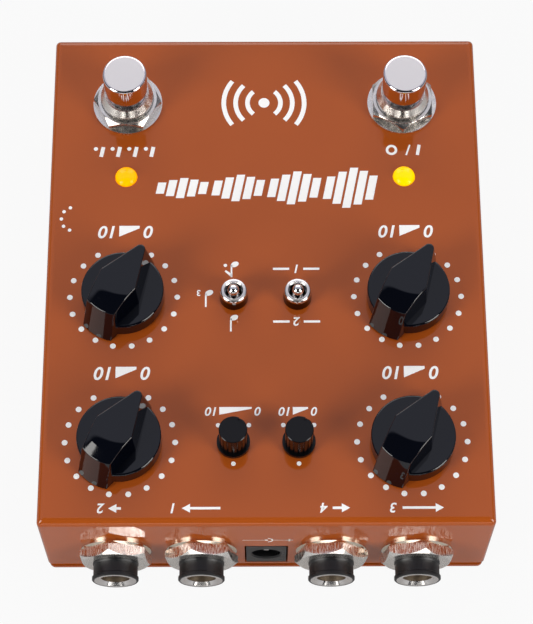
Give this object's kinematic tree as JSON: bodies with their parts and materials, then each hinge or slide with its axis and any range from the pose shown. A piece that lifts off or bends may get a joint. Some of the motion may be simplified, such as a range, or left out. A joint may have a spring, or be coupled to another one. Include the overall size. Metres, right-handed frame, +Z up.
{
  "type": "delay pedal",
  "caption": "Stereo echo floor pedal: flat steel case with pointer dials, small knobs, toggles, footswitches, lamps and rear jack sockets.",
  "frame": {"origin": "centre of the case's footprint, on the surface that the feet stand on", "axes": "+X to the user's right, +Y to the rear with the jack sockets, +Z up"},
  "size_m": [0.1, 0.1289, 0.0485],
  "materials": {
    "case_paint": "gloss",
    "zinc_steel": "satin",
    "foot_rubber": "matte",
    "circuit_board": "satin",
    "component_plastic": "matte",
    "knob_plastic": "gloss",
    "small_knob_plastic": "gloss",
    "chrome": "polished",
    "contact_metal": "satin",
    "lamp_lens": "gloss",
    "jack_plastic": "satin"
  },
  "bodies": {
    "housing": {"base_plate": "case_paint", "base_screws": "zinc_steel", "board_capacitors": "component_plastic", "board_chips": "component_plastic", "bypass_switch_body": "component_plastic", "case_shell": "case_paint", "corner_brackets": "zinc_steel", "dc_inlet_body": "jack_plastic", "dc_inlet_pin": "chrome", "division_switch_body": "component_plastic", "echo_pot_body": "component_plastic", "footswitch_bushings": "chrome", "footswitch_lugs": "contact_metal", "footswitch_nuts": "chrome", "footswitch_washers": "chrome", "hi_cut_pot_body": "component_plastic", "inlet_board": "circuit_board", "input_gain_pot_body": "component_plastic", "jack_contacts": "contact_metal", "jack_nuts": "chrome", "jack_rims": "chrome", "jack_washers": "chrome", "lamp_leads": "contact_metal", "left_input_jack_body": "jack_plastic", "left_output_jack_body": "jack_plastic", "main_board": "circuit_board", "midi_socket_body": "jack_plastic", "midi_socket_contacts": "contact_metal", "midi_socket_shield": "zinc_steel", "pot_bushings": "zinc_steel", "pot_nuts": "zinc_steel", "pot_washers": "zinc_steel", "repeat_pot_body": "component_plastic", "right_input_jack_body": "jack_plastic", "right_output_jack_body": "jack_plastic", "rubber_feet": "foot_rubber", "status_lamp": "lamp_lens", "tap_switch_body": "component_plastic", "tempo_lamp": "lamp_lens", "tempo_pot_body": "component_plastic", "toggle_bushings": "chrome", "toggle_collars": "chrome", "voicing_switch_body": "component_plastic", "voltage_regulator": "component_plastic", "volume_pot_body": "component_plastic"},
    "tempo_dial": {"tempo_knob": "knob_plastic", "tempo_shaft": "zinc_steel"},
    "repeat_dial": {"repeat_knob": "knob_plastic", "repeat_shaft": "zinc_steel"},
    "volume_dial": {"volume_knob": "knob_plastic", "volume_shaft": "zinc_steel"},
    "echo_dial": {"echo_knob": "knob_plastic", "echo_shaft": "zinc_steel"},
    "input_gain_dial": {"input_gain_knob": "small_knob_plastic"},
    "hi_cut_dial": {"hi_cut_knob": "small_knob_plastic"},
    "division_toggle": {"division_lever": "chrome"},
    "voicing_toggle": {"voicing_lever": "chrome"},
    "tap_push": {"tap_button": "chrome"},
    "bypass_push": {"bypass_button": "chrome"}
  },
  "joints": [
    {"name": "tempo_turn", "type": "hinge", "parent": "housing", "child": "tempo_dial", "pos_m": [0.0322, 0.0069, 0.034], "axis": [0, 0, 1], "range_deg": [-294, 0]},
    {"name": "repeat_turn", "type": "hinge", "parent": "housing", "child": "repeat_dial", "pos_m": [-0.0322, 0.0069, 0.034], "axis": [0, 0, 1], "range_deg": [-294, 0]},
    {"name": "volume_turn", "type": "hinge", "parent": "housing", "child": "volume_dial", "pos_m": [0.0322, 0.0419, 0.034], "axis": [0, 0, 1], "range_deg": [-294, 0]},
    {"name": "echo_turn", "type": "hinge", "parent": "housing", "child": "echo_dial", "pos_m": [-0.0322, 0.0419, 0.034], "axis": [0, 0, 1], "range_deg": [-294, 0]},
    {"name": "input_gain_turn", "type": "hinge", "parent": "housing", "child": "input_gain_dial", "pos_m": [0.0072, 0.04215, 0.034], "axis": [0, 0, 1], "range_deg": [-294, 0]},
    {"name": "hi_cut_turn", "type": "hinge", "parent": "housing", "child": "hi_cut_dial", "pos_m": [-0.0072, 0.04215, 0.034], "axis": [0, 0, 1], "range_deg": [-294, 0]},
    {"name": "division_tip", "type": "hinge", "parent": "housing", "child": "division_toggle", "pos_m": [0.0072, 0.0069, 0.034], "axis": [1, 0, 0], "range_deg": [0, 26]},
    {"name": "voicing_tip", "type": "hinge", "parent": "housing", "child": "voicing_toggle", "pos_m": [-0.0072, 0.0069, 0.034], "axis": [1, 0, 0], "range_deg": [0, 26]},
    {"name": "tap_press", "type": "slide", "parent": "housing", "child": "tap_push", "axis": [0, 0, -1], "range_m": [0, 0.002], "stiffness_N_per_m": 1500, "springref_m": -0.002},
    {"name": "bypass_press", "type": "slide", "parent": "housing", "child": "bypass_push", "axis": [0, 0, -1], "range_m": [0, 0.002], "stiffness_N_per_m": 1500, "springref_m": -0.002}
  ]
}
